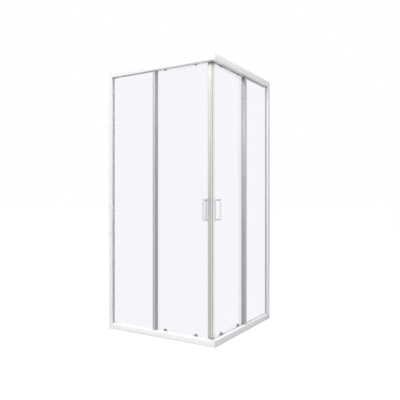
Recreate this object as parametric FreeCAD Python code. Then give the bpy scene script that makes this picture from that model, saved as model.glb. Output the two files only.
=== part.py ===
import FreeCAD, Part
import math
import os

os.makedirs("parts", exist_ok=True)
V = FreeCAD.Vector

# All lengths are millimetres. A place on the left wing is written (u, d, z):
# u runs along the wing from the front corner to the wall, d runs from the outer
# face into the shower, z runs up from the tray. The right wing is its mirror image.

# Overall sizes
width = 900.0  # one wing, front corner to wall
height = 1900.0
overrun = 1.0  # how far a cut passes the face it opens

# Top and bottom rail: one extrusion, used both ways up
rail_h = 44.0
rail_d = 66.0
rail_t = 1.6
rail_bow = 3.0  # crown of the outer face
rail_edge_r = 1.2
box_d = 18.0  # hollow box along the outer face
slot_w = 9.0  # open slot that takes the fixed glass
back_h = 40.0  # wall behind the door, lower than the rail's face, which hides it
track_d = 58.2  # middle of the running lip
lip_reach = 8.0  # from the top of that wall to the edge the wheels run on
port_bore_r = 1.75
port_side = 6.0  # square boss with the bore for the end screw

# Corner blocks
block_arm = 50.0
block_t = 2.5
block_floor_t = 3.0
block_rib_t = 2.0
spigot_l = 22.0
spigot_slip = 0.2
lid_slip = 0.1

# Wall posts: a channel screwed to the wall and a stile that slides into it
post_w = 28.0
post_t = 1.5
channel_w = 20.0
channel_drop = 5.0  # the channel stops this far below the top
post_slip = 0.3
stile_tuck = 12.0
pocket_depth = 16.0
wall_hole_r = 2.75
wall_hole_gap = 1700.0  # upper to lower fixing hole; a third one sits halfway

# Fixed glass and what holds it
glass_t = 5.0
glass_sill = 16.0  # lower edge of the fixed glass
gasket_base = 2.0
gasket_reveal = 1.0  # how far the gasket stays below the rail's edge
block_len = 60.0
block_play = 0.5
cover_t = 1.2
cover_leg = 20.0

# Uprights where fixed panel and door overlap
upright_u = 488.0
upright_w = 21.0
upright_face = 17.0
upright_d = 11.0
upright_t = 1.5
upright_edge_r = 1.5
pocket_bite = 10.2  # how deep the glass sits in the upright
pocket_slip = 0.2
hook_reach = 13.0  # fixed hook, towards the door
hook_lip = 9.0
hook_t = 1.5
hook_r = 0.6
hook_trim = 66.0  # hooks stop this far from top and bottom, clear of the rollers
hook_gap = 2.0
hook_play = 3.0
seal_t = 2.7
seal_h = 2.6

# Sliding doors
door_face = 43.0  # outer face of the door profiles
door_profile_d = 10.0
door_sill = 22.0
door_head = 12.0
door_inset = 15.0  # how far the door profiles reach into the rails
lead_end = 77.0
lead_bite = 11.0
trail_bite = 15.0
nose_wall = 1.5
meet_gap = 0.4  # each magnetic seal to the diagonal
magnet_w = 6.6
key_w = 1.8
key_slip = 0.1
barb_w = 3.6
barb_l = 1.5
barb_gap = 0.3

# End caps with the door's bumper
cap_plate_t = 2.0
bumper_l = 7.5
bumper_w = 8.0
bumper_h = 40.0
cap_slip = 0.2

# Rollers
roller_lead = 95.0  # first roller, behind the leading profile
roller_tail = 68.0  # second roller, before the trailing profile
wheel_t = 5.6
groove_sink = 1.5  # how much deeper than the lip's edge the V groove is cut
wheel_gap = 0.3  # wheel to lip
axle_fit = 0.05
axle_play = 0.2
top_groove_r = 10.0
top_flange = 2.5
top_axle_r = 2.5
low_groove_r = 7.0
low_flange = 2.5
low_axle_r = 1.5
roller_hole_r = 6.3
bush_slip = 0.3
top_stud_drop = 36.0  # middle of the stud and its cap, below the top
bush_arm_w = 20.0
bush_arm_t = 4.5
bush_arm_r = 6.0
bush_arm_rise = 6.5  # arm's end past the middle of the axle
stud_l = 4.5
stud_fit = 0.05
knob_r = 12.0
knob_t = 7.5

# Spring-loaded lower rollers
low_knob_w = 22.0
low_knob_h = 30.0
low_knob_z = 43.0
low_knob_flat = 0.6  # half of the short straight run at its top and bottom
guide_w = 24.0
guide_low = 4.0
guide_top = 50.0
guide_back_t = 1.5
guide_rail_w = 3.8
guide_depth = 4.5
guide_lip_w = 2.0
guide_lip_t = 0.9
ledge_t = 2.0
slider_t = 1.8
slider_slip = 0.15
slider_side_slip = 0.3
slider_low = 22.0
slider_top = 58.5
tab_t = 2.0
tab_reach = 6.0
spring_t = 0.6
spring_w = 2.4
spring_half = 5.8
spring_runs = 5
spring_gap = 0.1

# Handles
handle_inset = 16.0  # middle of the handle, behind the leading profile
handle_z = 888.0
handle_pitch = 130.0
grip_w = 14.0
grip_t = 7.0
grip_face = 4.5
grip_edge_r = 2.5
grip_len = 150.0
grip_post_r = 5.5
plate_w = 18.0
plate_t = 3.0
plate_edge_r = 1.0
handle_hole_r = 4.0
handle_screw_r = 2.5
handle_screw_fit = 0.05
handle_screw_l = 23.5
handle_head_r = 4.5
handle_head_t = 2.5

# Frame fasteners
tap_r = 1.75
tap_l = 9.0
tap_d = 7.5
tap_in = 10.0
end_screw_r = 1.7
end_head_r = 2.5
end_head_t = 2.2
end_screw_l = 14.0
side_screw_r = 1.5
side_head_r = 3.0
side_head_t = 2.0
side_screw_l = 9.0
side_screw_end = 150.0
screw_fit = 0.1
cover_rim = 1.2
cover_roof = 1.2

# Places that follow from the sizes above
cheek_d = box_d + slot_w
trough_d = cheek_d + rail_t
lip_z = back_h - lip_reach
lip_d = track_d - rail_t / 2
port_d = box_d - rail_t - port_side / 2
port_z = rail_h / 2
glass_d = box_d + (slot_w - glass_t) / 2
stile_u = width - post_w
stile_d = post_t + post_slip
stile_back = cheek_d + post_t
channel_d = stile_back + post_slip + post_t
pocket_end = stile_u + pocket_depth
fixed_edge = pocket_end - post_t - gasket_base
upright_end = upright_u + upright_w
fixed_start = upright_end - pocket_bite
door_back = door_face + door_profile_d
door_glass_d = door_face + (door_profile_d - glass_t) / 2
door_glass_in = door_glass_d + glass_t
door_low = rail_h - door_inset
top_wheel_z = height - lip_z + top_groove_r + wheel_gap
top_stud_z = height - top_stud_drop
low_wheel_z = lip_z - low_groove_r - wheel_gap
wheel_d = track_d - wheel_t / 2
roller_places = (lead_end + roller_lead, upright_u - roller_tail)
handle_u = lead_end + handle_inset

# Screws, and holes that a cap or a flange covers, have this many flat sides
small_sides = 6
wheel_sides = 24


def at(u, d, z):
    return V(width / 2 - u, d - width / 2, z)


INWARD = V(0, 1, 0)
TO_WALL = V(-1, 0, 0)
UP = V(0, 0, 1)
CENTRE = V(0, 0, 0)


def solid(shape):
    """The one solid of a shape, turned the right way out."""
    body = shape.Solids[0]
    if body.Volume < 0:
        body.reverse()
    return body


def outline(corners, place):
    """Closed wire through corners (a, b, radius, via); via bows the run that follows."""
    full = [tuple(c) + (0, None)[len(c) - 2:] for c in corners]
    arcs = []
    for i, (a, b, radius, via) in enumerate(full):
        here = V(a, b, 0)
        if not radius:
            arcs.append((here, None, here))
            continue
        before = full[i - 1]
        after = full[(i + 1) % len(full)]
        back = (V(before[0], before[1], 0) - here).normalize()
        ahead = (V(after[0], after[1], 0) - here).normalize()
        half = back.getAngle(ahead) / 2
        middle = (back + ahead).normalize()
        tangent = radius / math.tan(half)
        mid = here + middle * (radius / math.sin(half) - radius)
        arcs.append((here + back * tangent, mid, here + ahead * tangent))
    edges = []
    for i, (start, mid, end) in enumerate(arcs):
        if mid:
            points = [place(p.x, p.y) for p in (start, mid, end)]
            edges.append(Part.Arc(*points).toShape())
        goal = arcs[(i + 1) % len(arcs)][0]
        via = full[i][3]
        if via:
            points = [place(end.x, end.y), place(*via), place(goal.x, goal.y)]
            edges.append(Part.Arc(*points).toShape())
        else:
            edges.append(Part.LineSegment(place(end.x, end.y), place(goal.x, goal.y)).toShape())
    return Part.Wire(edges)


def along(corners, u0, u1):
    """A section drawn in (d, z), run along the wing."""
    wire = outline(corners, lambda d, z: at(u0, d, z))
    return solid(Part.Face(wire).extrude(TO_WALL * (u1 - u0)))


def standing(corners, z0, z1):
    """A section drawn in (u, d), run upwards."""
    wire = outline(corners, lambda u, d: at(u, d, z0))
    return solid(Part.Face(wire).extrude(UP * (z1 - z0)))


def facing(corners, d0, d1):
    """An outline drawn in (u, z), run inwards."""
    wire = outline(corners, lambda u, z: at(u, d0, z))
    return solid(Part.Face(wire).extrude(INWARD * (d1 - d0)))


def rectangle(a0, a1, b0, b1, radius=0):
    return [(a0, b0, radius), (a1, b0, radius), (a1, b1, radius), (a0, b1, radius)]


def block(u0, u1, d0, d1, z0, z1):
    return standing(rectangle(u0, u1, d0, d1), z0, z1)


def turned(profile, base, axis):
    """A solid of revolution from corners (distance along the axis, radius)."""
    wire = outline(profile, lambda a, r: V(r, 0, a))
    body = solid(Part.Face(wire).revolve(CENTRE, UP, 360))
    body.Placement = FreeCAD.Placement(base, FreeCAD.Rotation(UP, axis))
    return body


def rod(radius, length, base, axis):
    return Part.makeCylinder(radius, length, base, axis)


def many_sided(profile, base, axis, sides):
    """A solid of revolution with flat sides, closed by its first and last ring."""
    turn = math.pi / sides
    rings = []
    for along_axis, radius in profile:
        reach = radius / math.cos(turn)
        ring = [V(math.cos(turn * k) * reach, math.sin(turn * k) * reach, along_axis)
                for k in range(1, sides * 2, 2)]
        rings.append(ring)
    panels = [rings[0], rings[-1]]
    for low, high in zip(rings, rings[1:]):
        for i in range(sides):
            panels.append([low[i - 1], low[i], high[i], high[i - 1]])
    faces = [Part.Face(Part.makePolygon(panel + panel[:1])) for panel in panels]
    body = solid(Part.Solid(Part.Shell(faces)))
    body.Placement = FreeCAD.Placement(base, FreeCAD.Rotation(UP, axis))
    return body


def prism(radius, length, base, axis, sides=small_sides):
    """A many-sided rod whose flats lie at the radius."""
    return many_sided([(0, radius), (length, radius)], base, axis, sides)


def headed(shank_r, shank_l, head_r, head_t, base, axis):
    """A screw: base is the seat of its head, axis the way the shank points."""
    head = prism(head_r, head_t, base - axis * head_t, axis)
    return join(head, prism(shank_r, shank_l, base, axis))


def join(first, *others):
    return solid(first.fuse(list(others)).removeSplitter())


def flipped(shape):
    """The same piece at the other end of the height."""
    return solid(shape.mirror(V(0, 0, height / 2), UP))


def other_wing(shape):
    return solid(shape.mirror(CENTRE, V(1, 1, 0)))


def both_ends(shapes):
    return shapes + [flipped(s) for s in shapes]


def write(node, shapes):
    shape = shapes[0] if len(shapes) == 1 else Part.makeCompound(shapes)
    shape.exportStep("parts/" + node + ".step")


def write_pair(node, shapes):
    write(node + "_left", shapes)
    write(node + "_right", [other_wing(s) for s in shapes])


def outer_face(top):
    """Crowned outer face, drawn from bottom to top."""
    return [(rail_bow, 0, rail_edge_r, (0, top / 2)), (rail_bow, top, rail_edge_r)]


# Rails: outer box, glass slot, door trough and running lip in one extrusion
def rail():
    inner = rail_d - rail_t
    lip_end = lip_d + rail_t
    corners = outer_face(rail_h) + [
        (box_d, rail_h),
        (box_d, rail_t),
        (cheek_d, rail_t),
        (cheek_d, rail_h),
        (trough_d, rail_h),
        (trough_d, rail_t),
        (inner, rail_t),
        (inner, back_h - rail_t),
        (lip_end, back_h - rail_t),
        (lip_end, lip_z),
        (lip_d, lip_z),
        (lip_d, back_h, rail_edge_r),
        (rail_d, back_h, rail_edge_r),
        (rail_d, 0),
    ]
    hollow = [
        (rail_bow + rail_t, rail_t, 0, (rail_t, rail_h / 2)),
        (rail_bow + rail_t, rail_h - rail_t),
        (box_d - rail_t, rail_h - rail_t),
        (box_d - rail_t, rail_t),
    ]
    boss = block(block_arm - overrun, stile_u + overrun, box_d - rail_t - port_side, box_d,
                 port_z - port_side / 2, port_z + port_side / 2)
    cavity = along(hollow, block_arm - overrun, stile_u + overrun).cut(boss)
    bore = prism(port_bore_r, width, at(0, port_d, port_z), TO_WALL)
    notch = block(0, rail_d, trough_d, rail_d + overrun, -overrun, rail_h + overrun)
    tap = prism(tap_r + screw_fit, rail_t + overrun, at(block_arm + tap_in, tap_d, -overrun), UP)
    return solid(along(corners, block_arm, stile_u).cut([cavity, notch, tap, bore]))


def half_plan(low, high):
    """The left wing's side of the corner's mitre, as a prism."""
    far = rail_d + overrun
    near = -overrun
    return standing([(near, near), (far, near), (far, far)], low, high)


# Corner blocks: mitred L moulding with spigots for the rails and a floor for the trough
def corner_block():
    keep = half_plan(-overrun, rail_h + overrun)
    shell = outer_face(rail_h) + [(trough_d, rail_h), (trough_d, 0)]
    arm = solid(along(shell, -overrun, block_arm).common(keep))
    room = rectangle(rail_bow + block_t, trough_d - block_t, -overrun, rail_h - block_t)
    hollow = solid(along(room, -overrun, block_arm - block_t).common(keep))
    rib_u = (trough_d + block_arm) / 2
    rib = block(rib_u, rib_u + block_rib_t, rail_bow + block_t, trough_d - block_t, block_floor_t,
                rail_h - block_t)
    body = join(arm, other_wing(arm)).cut([hollow, other_wing(hollow)])
    floor = block(trough_d, rail_d, trough_d, rail_d, 0, block_floor_t)
    leg = spigot()
    return join(solid(body), floor, rib, other_wing(rib), leg, other_wing(leg))


def corner_lid():
    """L-shaped cover plate snapped into the block's open side, flush with it."""
    near = rail_bow + block_t + lid_slip
    far = trough_d - block_t - lid_slip
    end = block_arm - block_t - lid_slip
    corners = [(near, near), (end, near), (end, far), (far, far), (far, end), (near, end)]
    return standing(corners, 0, block_floor_t)


def spigot():
    """Leg inside the rail's box, notched round the screw port."""
    outer = rail_bow + rail_t + spigot_slip
    inner = box_d - rail_t - spigot_slip
    low = rail_t + spigot_slip
    waist = inner - port_side
    half = port_side / 2 + spigot_slip
    corners = [
        (outer, low),
        (inner, low),
        (inner, port_z - half),
        (waist, port_z - half),
        (waist, port_z + half),
        (inner, port_z + half),
        (inner, rail_h - low),
        (outer, rail_h - low),
    ]
    leg = along(corners, block_arm - block_t, block_arm + spigot_l)
    return solid(leg.cut(prism(tap_r, tap_l, at(block_arm + tap_in, tap_d, 0), UP)))


# Wall posts
def wall_channel():
    web = width - post_t
    front = width - channel_w
    corners = [
        (front, 0),
        (width, 0),
        (width, channel_d),
        (front, channel_d),
        (front, channel_d - post_t),
        (web, channel_d - post_t),
        (web, post_t),
        (front, post_t),
    ]
    body = standing(corners, 0, height - channel_drop)
    middle = height / 2
    hole_d = (stile_d + glass_d - post_t) / 2
    places = [middle + side * wall_hole_gap / 2 for side in (-1, 0, 1)]
    holes = [rod(wall_hole_r, post_t + overrun, at(web, hole_d, z), TO_WALL) for z in places]
    sides = [prism(side_screw_r + screw_fit, post_t, at(side_u(), channel_d - post_t, z), INWARD)
             for z in side_heights()]
    return solid(body.cut(holes + sides))


def side_u():
    return (pocket_end + stile_u + post_w - channel_w + stile_tuck) / 2


def side_heights():
    return (side_screw_end, height / 2, height - side_screw_end)


def wall_stile():
    deep = width - channel_w + stile_tuck
    cheek = box_d - post_t
    corners = [
        (stile_u, stile_d, rail_edge_r),
        (deep, stile_d),
        (deep, stile_d + post_t),
        (stile_u + post_t, stile_d + post_t),
        (stile_u + post_t, cheek),
        (pocket_end, cheek),
        (pocket_end, cheek_d),
        (deep, cheek_d),
        (deep, stile_back),
        (stile_u, stile_back),
        (stile_u, cheek_d),
        (pocket_end - post_t, cheek_d),
        (pocket_end - post_t, box_d),
        (stile_u, box_d),
    ]
    body = standing(corners, 0, height)
    places = [at(stile_u, port_d, z) for z in (port_z, height - port_z)]
    ends = [prism(end_screw_r + screw_fit, post_t, p, TO_WALL) for p in places]
    sides = [prism(side_screw_r, post_t, at(side_u(), cheek_d, z), INWARD) for z in side_heights()]
    return solid(body.cut(ends + sides))


# Fixed panel
def fixed_glass():
    return block(fixed_start, fixed_edge, glass_d, glass_d + glass_t, glass_sill, height - glass_sill)


def gasket_profile(base, end):
    inner = base + gasket_base
    return [
        (box_d, base),
        (cheek_d, base),
        (cheek_d, end),
        (glass_d + glass_t, end),
        (glass_d + glass_t, inner),
        (glass_d, inner),
        (glass_d, end),
        (box_d, end),
    ]


def gaskets():
    low = gasket_profile(glass_sill - gasket_base, rail_h - gasket_reveal)
    strip = along(low, upright_end, stile_u)
    base = fixed_edge + gasket_base
    side = gasket_profile(-base, -stile_u - gasket_reveal)
    stile_strip = standing([(-c[1], c[0]) + tuple(c[2:]) for c in side], glass_sill - gasket_base,
                           height - glass_sill + gasket_base)
    return both_ends([strip]) + [stile_strip]


def setting_blocks():
    span = stile_u - upright_end
    return [
        block(u - block_len / 2, u + block_len / 2, box_d + block_play, cheek_d - block_play, rail_t,
              glass_sill - gasket_base)
        for u in (upright_end + span / 4, stile_u - span / 4)
    ]


def slot_covers():
    low = rail_h - cover_leg
    corners = [
        (box_d, low),
        (box_d, rail_h),
        (cheek_d, rail_h),
        (cheek_d, low),
        (cheek_d - cover_t, low),
        (cheek_d - cover_t, rail_h - cover_t),
        (box_d + cover_t, rail_h - cover_t),
        (box_d + cover_t, low),
    ]
    return both_ends([along(corners, block_arm, upright_u)])


def fixed_upright():
    back = upright_face + upright_d
    pocket_d = glass_d - pocket_slip
    pocket_in = glass_d + glass_t + pocket_slip
    pocket_u = fixed_start - pocket_slip
    corners = [
        (upright_u, upright_face, upright_edge_r),
        (upright_end, upright_face, upright_edge_r),
        (upright_end, pocket_d),
        (pocket_u, pocket_d),
        (pocket_u, pocket_in),
        (upright_end, pocket_in),
        (upright_end, back),
        (upright_u, back),
    ]
    room = rectangle(upright_u + upright_t, pocket_u - upright_t, upright_face + upright_t,
                     back - upright_t)
    body = standing(corners, rail_h, height - rail_h)
    cavity = standing(room, rail_h - overrun, height - rail_h + overrun)
    tip = back + hook_reach
    hook = [
        (upright_u, back - upright_t),
        (upright_u, tip, hook_r),
        (upright_u + hook_lip, tip),
        (upright_u + hook_lip, tip - hook_t),
        (upright_u + hook_t, tip - hook_t),
        (upright_u + hook_t, back - upright_t),
    ]
    return solid(join(body, standing(hook, hook_trim, height - hook_trim)).cut(cavity))


def door_hook_d():
    """Outer face of the door's hook, just inside the fixed upright."""
    return upright_face + upright_d + hook_gap + hook_play - hook_t / 2


def upright_seal():
    low = door_hook_d() - (seal_h - hook_t) / 2
    start = upright_u + hook_t
    corners = rectangle(start, start + seal_t, low, low + seal_h)
    return standing(corners, hook_trim, height - hook_trim)


def end_cap():
    """Closes the door trough against the wall and stops the door."""
    plate = block(stile_u, stile_u + cap_plate_t, channel_d + cap_slip, rail_d, 0, rail_h)
    middle = (door_face + door_back) / 2
    bumper = block(stile_u - bumper_l, stile_u, middle - bumper_w / 2, middle + bumper_w / 2,
                   rail_t + cap_slip, bumper_h)
    return join(plate, bumper)


def frame_screws():
    tap = prism(tap_r, tap_l, at(block_arm + tap_in, tap_d, 0), UP)
    seat = at(stile_u + post_t, port_d, port_z)
    end = headed(end_screw_r, end_screw_l, end_head_r, end_head_t, seat, -TO_WALL)
    sides = [
        headed(side_screw_r, side_screw_l, side_head_r, side_head_t, at(side_u(), channel_d, z), -INWARD)
        for z in side_heights()
    ]
    left = both_ends([tap, end]) + sides
    return left + [other_wing(s) for s in left]


def screw_covers():
    """Snap-on covers over the heads of the side screws."""
    left = []
    for z in side_heights():
        base = at(side_u(), channel_d, z)
        cover = prism(side_head_r + cover_rim, side_head_t + cover_roof, base, INWARD)
        room = prism(side_head_r + screw_fit, side_head_t + screw_fit, base, INWARD)
        left.append(solid(cover.cut(room)))
    return left + [other_wing(s) for s in left]


# Sliding door
def door_glass():
    left = lead_end - lead_bite + pocket_slip
    right = upright_u + trail_bite - pocket_slip
    sheet = block(left, right, door_glass_d, door_glass_in, door_sill, height - door_head)
    holes = [hole(handle_u, z, handle_hole_r) for z in handle_heights()]
    for u in roller_places:
        holes.append(hole(u, top_stud_z, roller_hole_r))
        holes.append(hole(u, low_knob_z, roller_hole_r))
    return solid(sheet.cut(holes))


def hole(u, z, radius):
    return prism(radius, glass_t + overrun * 2, at(u, door_glass_d - overrun, z), INWARD)


def leading_profile():
    """Door's front stile: 45 degree nose, slit for the seal, pocket for the glass."""
    shift = meet_gap + magnet_w
    pocket_d = door_glass_d - pocket_slip
    pocket_in = door_glass_in + pocket_slip
    pocket_u = lead_end - lead_bite
    corners = [
        (door_face + shift, door_face, upright_edge_r),
        (lead_end, door_face, upright_edge_r),
        (lead_end, pocket_d),
        (pocket_u, pocket_d),
        (pocket_u, pocket_in),
        (lead_end, pocket_in),
        (lead_end, door_back),
        (door_back + shift, door_back),
    ]
    inset = shift + nose_wall * math.sqrt(2)
    low = door_face + nose_wall
    high = door_back - nose_wall
    room = [
        (low + inset, low),
        (pocket_u - nose_wall, low),
        (pocket_u - nose_wall, high),
        (high + inset, high),
    ]
    middle = (door_face + door_back) / 2
    half = key_w / 2 + key_slip
    slit = block(middle + meet_gap, middle + inset + half * 2, middle - half, middle + half,
                 0, height)
    body = standing(corners, door_low, height - door_low)
    return solid(body.cut([standing(room, 0, height), slit]))


def magnetic_seal():
    """Wedge on the diagonal with a barbed key in the profile's slit."""
    shift = meet_gap + magnet_w
    middle = (door_face + door_back) / 2
    half = key_w / 2
    barb = barb_w / 2
    neck = middle + barb + shift + nose_wall * math.sqrt(2) + barb_gap
    corners = [
        (door_face + meet_gap, door_face),
        (door_face + shift, door_face),
        (middle - half + shift, middle - half),
        (neck, middle - half),
        (neck, middle - barb),
        (neck + barb_l, middle - half),
        (neck + barb_l, middle + half),
        (neck, middle + barb),
        (neck, middle + half),
        (middle + half + shift, middle + half),
        (door_back + shift, door_back),
        (door_back + meet_gap, door_back),
    ]
    return standing(corners, door_low, height - door_low)


def trailing_profile():
    pocket_d = door_glass_d - pocket_slip
    pocket_in = door_glass_in + pocket_slip
    pocket_u = upright_u + trail_bite
    corners = [
        (upright_u, door_face),
        (upright_end, door_face),
        (upright_end, door_back, upright_edge_r),
        (upright_u, door_back, upright_edge_r),
        (upright_u, pocket_in),
        (pocket_u, pocket_in),
        (pocket_u, pocket_d),
        (upright_u, pocket_d),
    ]
    body = standing(corners, door_low, height - door_low)
    root = door_face + upright_t
    lip = upright_u + hook_t + hook_play
    tip = door_hook_d()
    hook = [
        (upright_end, root),
        (upright_end, tip, hook_r),
        (lip, tip),
        (lip, tip + hook_t),
        (upright_end - hook_t, tip + hook_t),
        (upright_end - hook_t, root),
    ]
    return join(body, standing(hook, hook_trim, height - hook_trim))


# Handles: cast D grip outside, backing plate inside, screws through the glass
def handle_heights():
    return (handle_z - handle_pitch / 2, handle_z + handle_pitch / 2)


def handle_grip():
    half_w = grip_w / 2
    half_l = grip_len / 2
    back = grip_face + grip_t
    section = rectangle(handle_u - half_w, handle_u + half_w, grip_face, back, grip_edge_r)
    bar = standing(section, handle_z - half_l, handle_z + half_l)
    post_l = door_glass_d - grip_face - grip_t / 2
    posts = [rod(grip_post_r, post_l, at(handle_u, door_glass_d - post_l, z), INWARD) for z in handle_heights()]
    return solid(join(bar, *posts).cut([screw_bore(z) for z in handle_heights()]))


def handle_seat():
    return door_glass_in + plate_t


def screw_bore(z):
    deep = handle_screw_l + overrun
    seat = at(handle_u, handle_seat() - deep, z)
    return prism(handle_screw_r + handle_screw_fit, deep, seat, INWARD)


def handle_backplate():
    half_w = plate_w / 2
    half_l = grip_len / 2
    section = [
        (handle_u - half_w, door_glass_in),
        (handle_u + half_w, door_glass_in),
        (handle_u + half_w, handle_seat(), plate_edge_r),
        (handle_u - half_w, handle_seat(), plate_edge_r),
    ]
    plate = standing(section, handle_z - half_l, handle_z + half_l)
    return solid(plate.cut([screw_bore(z) for z in handle_heights()]))


def handle_screws():
    return [
        headed(handle_screw_r, handle_screw_l, handle_head_r, handle_head_t,
               at(handle_u, handle_seat(), z), -INWARD)
        for z in handle_heights()
    ]


# Rollers
def wheel(groove_r, flange, axle_r, u, z):
    """V-grooved wheel; the groove is as wide as the lip where it meets it."""
    profile = [
        (0, groove_r + flange),
        (wheel_t / 2, groove_r - groove_sink),
        (wheel_t, groove_r + flange),
    ]
    base = at(u, wheel_d, z)
    body = many_sided(profile, base, INWARD, wheel_sides)
    return solid(body.cut(rod(axle_r + axle_fit, wheel_t, base, INWARD)))


def axle(axle_r, start, u, z):
    return rod(axle_r, wheel_d + wheel_t + axle_play - start, at(u, start, z), INWARD)


def stud(length, u, z):
    return prism(roller_hole_r - bush_slip, length, at(u, door_glass_d - stud_l, z), INWARD)


def stud_bore(u, z):
    start = at(u, door_glass_d - stud_l - bush_slip, z)
    return prism(roller_hole_r - bush_slip + stud_fit, stud_l + bush_slip, start, INWARD)


def top_bush(u):
    """Stud through the glass and the arm that carries an upper wheel's axle above it."""
    half = bush_arm_w / 2
    shape = rectangle(u - half, u + half, top_stud_z - half, top_wheel_z + bush_arm_rise, bush_arm_r)
    arm = facing(shape, door_glass_in, door_glass_in + bush_arm_t)
    return join(arm, stud(stud_l + glass_t, u, top_stud_z), axle(top_axle_r, door_glass_in, u, top_wheel_z))


def top_knob(u):
    body = rod(knob_r, knob_t, at(u, door_glass_d - knob_t, top_stud_z), INWARD)
    return solid(body.cut(stud_bore(u, top_stud_z)))


def low_knob(u):
    half_w = low_knob_w / 2
    half_h = low_knob_h / 2
    shape = rectangle(u - half_w, u + half_w, low_knob_z - half_h, low_knob_z + half_h,
                      half_w - low_knob_flat)
    body = facing(shape, door_glass_d - knob_t, door_glass_d)
    return solid(body.cut(stud_bore(u, low_knob_z)))


def low_housing(u):
    """Guide on the inner face of the glass with a stud through it to the outer knob."""
    half = guide_w / 2
    inside = half - guide_rail_w
    front = door_glass_in + guide_back_t
    tip = door_glass_in + guide_depth
    back = block(u - half, u + half, door_glass_in, front, guide_low, guide_top)
    ledge = block(u - half, u + half, front, tip, guide_low, guide_low + ledge_t)
    pieces = [ledge, stud(stud_l + glass_t, u, low_knob_z)]
    for side in (-1, 1):
        walls = [
            (u + side * half, front),
            (u + side * half, tip),
            (u + side * (inside - guide_lip_w), tip),
            (u + side * (inside - guide_lip_w), tip - guide_lip_t),
            (u + side * inside, tip - guide_lip_t),
            (u + side * inside, front),
        ]
        pieces.append(standing(walls, guide_low, guide_top))
    return join(back, *pieces)


def slider_half():
    return guide_w / 2 - guide_rail_w - slider_side_slip


def low_release(u):
    """Sprung slider with a thumb tab above the rail and the lower wheel's axle."""
    start = door_glass_in + guide_back_t + slider_slip
    half = slider_half()
    plate = block(u - half, u + half, start, start + slider_t, slider_low, slider_top)
    tab = block(u - half, u + half, start, start + tab_reach, slider_top - tab_t, slider_top)
    return join(plate, tab, axle(low_axle_r, start, u, low_wheel_z))


def release_spring(u):
    """Folded strip spring between the guide's ledge and the slider."""
    base = guide_low + ledge_t
    rise = (slider_low - spring_gap - base - spring_t) / spring_runs
    start = door_glass_in + guide_back_t + slider_slip
    folds = []
    for i in range(spring_runs):
        lean = spring_half * (-1) ** i
        low = base + rise * i
        corners = [
            (u - lean, low),
            (u + lean, low + rise),
            (u + lean, low + rise + spring_t),
            (u - lean, low + spring_t),
        ]
        folds.append(facing(corners, start, start + spring_w))
    return join(*folds)


frame_pairs = {
    "wall_channel": [wall_channel()],
    "wall_stile": [wall_stile()],
    "bottom_rail": [rail()],
    "top_rail": [flipped(rail())],
    "fixed_glass": [fixed_glass()],
    "fixed_upright": [fixed_upright()],
}
for name, shapes in frame_pairs.items():
    write_pair(name, shapes)

write("corner_block_bottom", [corner_block()])
write("corner_block_top", [flipped(corner_block())])
write("corner_covers", both_ends([corner_lid()]))
write("frame_screws", frame_screws())
write("screw_covers", screw_covers())

left_sets = {
    "fixed_glass_gaskets": gaskets(),
    "setting_blocks": setting_blocks(),
    "slot_covers": slot_covers(),
    "upright_seals": [upright_seal()],
    "rail_end_caps": both_ends([end_cap()]),
}
for name, shapes in left_sets.items():
    write(name, shapes + [other_wing(s) for s in shapes])

door_pieces = {
    "door_glass": [door_glass()],
    "door_leading_profile": [leading_profile()],
    "door_trailing_profile": [trailing_profile()],
    "magnetic_seal": [magnetic_seal()],
    "handle_grip": [handle_grip()],
    "handle_backplate": [handle_backplate()],
    "handle_screws": handle_screws(),
    "top_roller_bushes": [top_bush(u) for u in roller_places],
    "top_roller_caps": [top_knob(u) for u in roller_places],
    "bottom_roller_guides": [low_housing(u) for u in roller_places],
    "bottom_roller_caps": [low_knob(u) for u in roller_places],
    "release_springs": [release_spring(u) for u in roller_places],
}
for label, u in zip(("front", "rear"), roller_places):
    door_pieces["top_wheel_" + label] = [wheel(top_groove_r, top_flange, top_axle_r, u, top_wheel_z)]
    door_pieces["bottom_wheel_" + label] = [wheel(low_groove_r, low_flange, low_axle_r, u, low_wheel_z)]
    door_pieces["bottom_release_" + label] = [low_release(u)]
for name, shapes in door_pieces.items():
    write_pair(name, shapes)
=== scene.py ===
import bmesh
import bpy
import math
from mathutils import Euler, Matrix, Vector


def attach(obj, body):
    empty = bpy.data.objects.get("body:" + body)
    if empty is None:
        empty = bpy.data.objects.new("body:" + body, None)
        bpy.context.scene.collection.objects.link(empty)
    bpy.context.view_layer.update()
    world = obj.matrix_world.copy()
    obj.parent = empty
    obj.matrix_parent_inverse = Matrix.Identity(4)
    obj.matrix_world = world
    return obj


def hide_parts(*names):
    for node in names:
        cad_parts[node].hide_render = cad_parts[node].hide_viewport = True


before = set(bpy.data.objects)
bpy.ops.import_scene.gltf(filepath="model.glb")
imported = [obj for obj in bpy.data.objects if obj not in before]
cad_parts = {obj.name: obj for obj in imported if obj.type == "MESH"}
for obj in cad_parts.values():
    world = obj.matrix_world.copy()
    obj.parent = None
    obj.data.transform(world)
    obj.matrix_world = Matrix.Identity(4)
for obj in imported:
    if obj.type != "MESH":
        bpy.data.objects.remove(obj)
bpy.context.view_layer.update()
print("frame loaded:", len(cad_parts), "nodes")

# Places on a wing are (u, d, z) in millimetres: u from the front corner to the wall,
# d from the outer face into the shower, z up from the tray.
mm = 0.001
wing = {"width": 900, "height": 1900, "sides": ("left", "right")}


def wingPoint(side, u, d, z):
    half = wing["width"] / 2
    if side == "left":
        return Vector((half - u, d - half, z)) * mm
    return Vector((half - d, u - half, z)) * mm


def pointing(side, way):
    # turns a shape drawn about +Z towards the step way = (u, d, z)
    step = wingPoint(side, *way) - wingPoint(side, 0, 0, 0)
    return step.to_track_quat("Z", "Y").to_euler()


# Node trees
def newSocket(tree, name, kind, way="INPUT", value=None):
    socket = tree.interface.new_socket(name=name, in_out=way, socket_type=kind)
    if value is not None:
        socket.default_value = value


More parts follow.
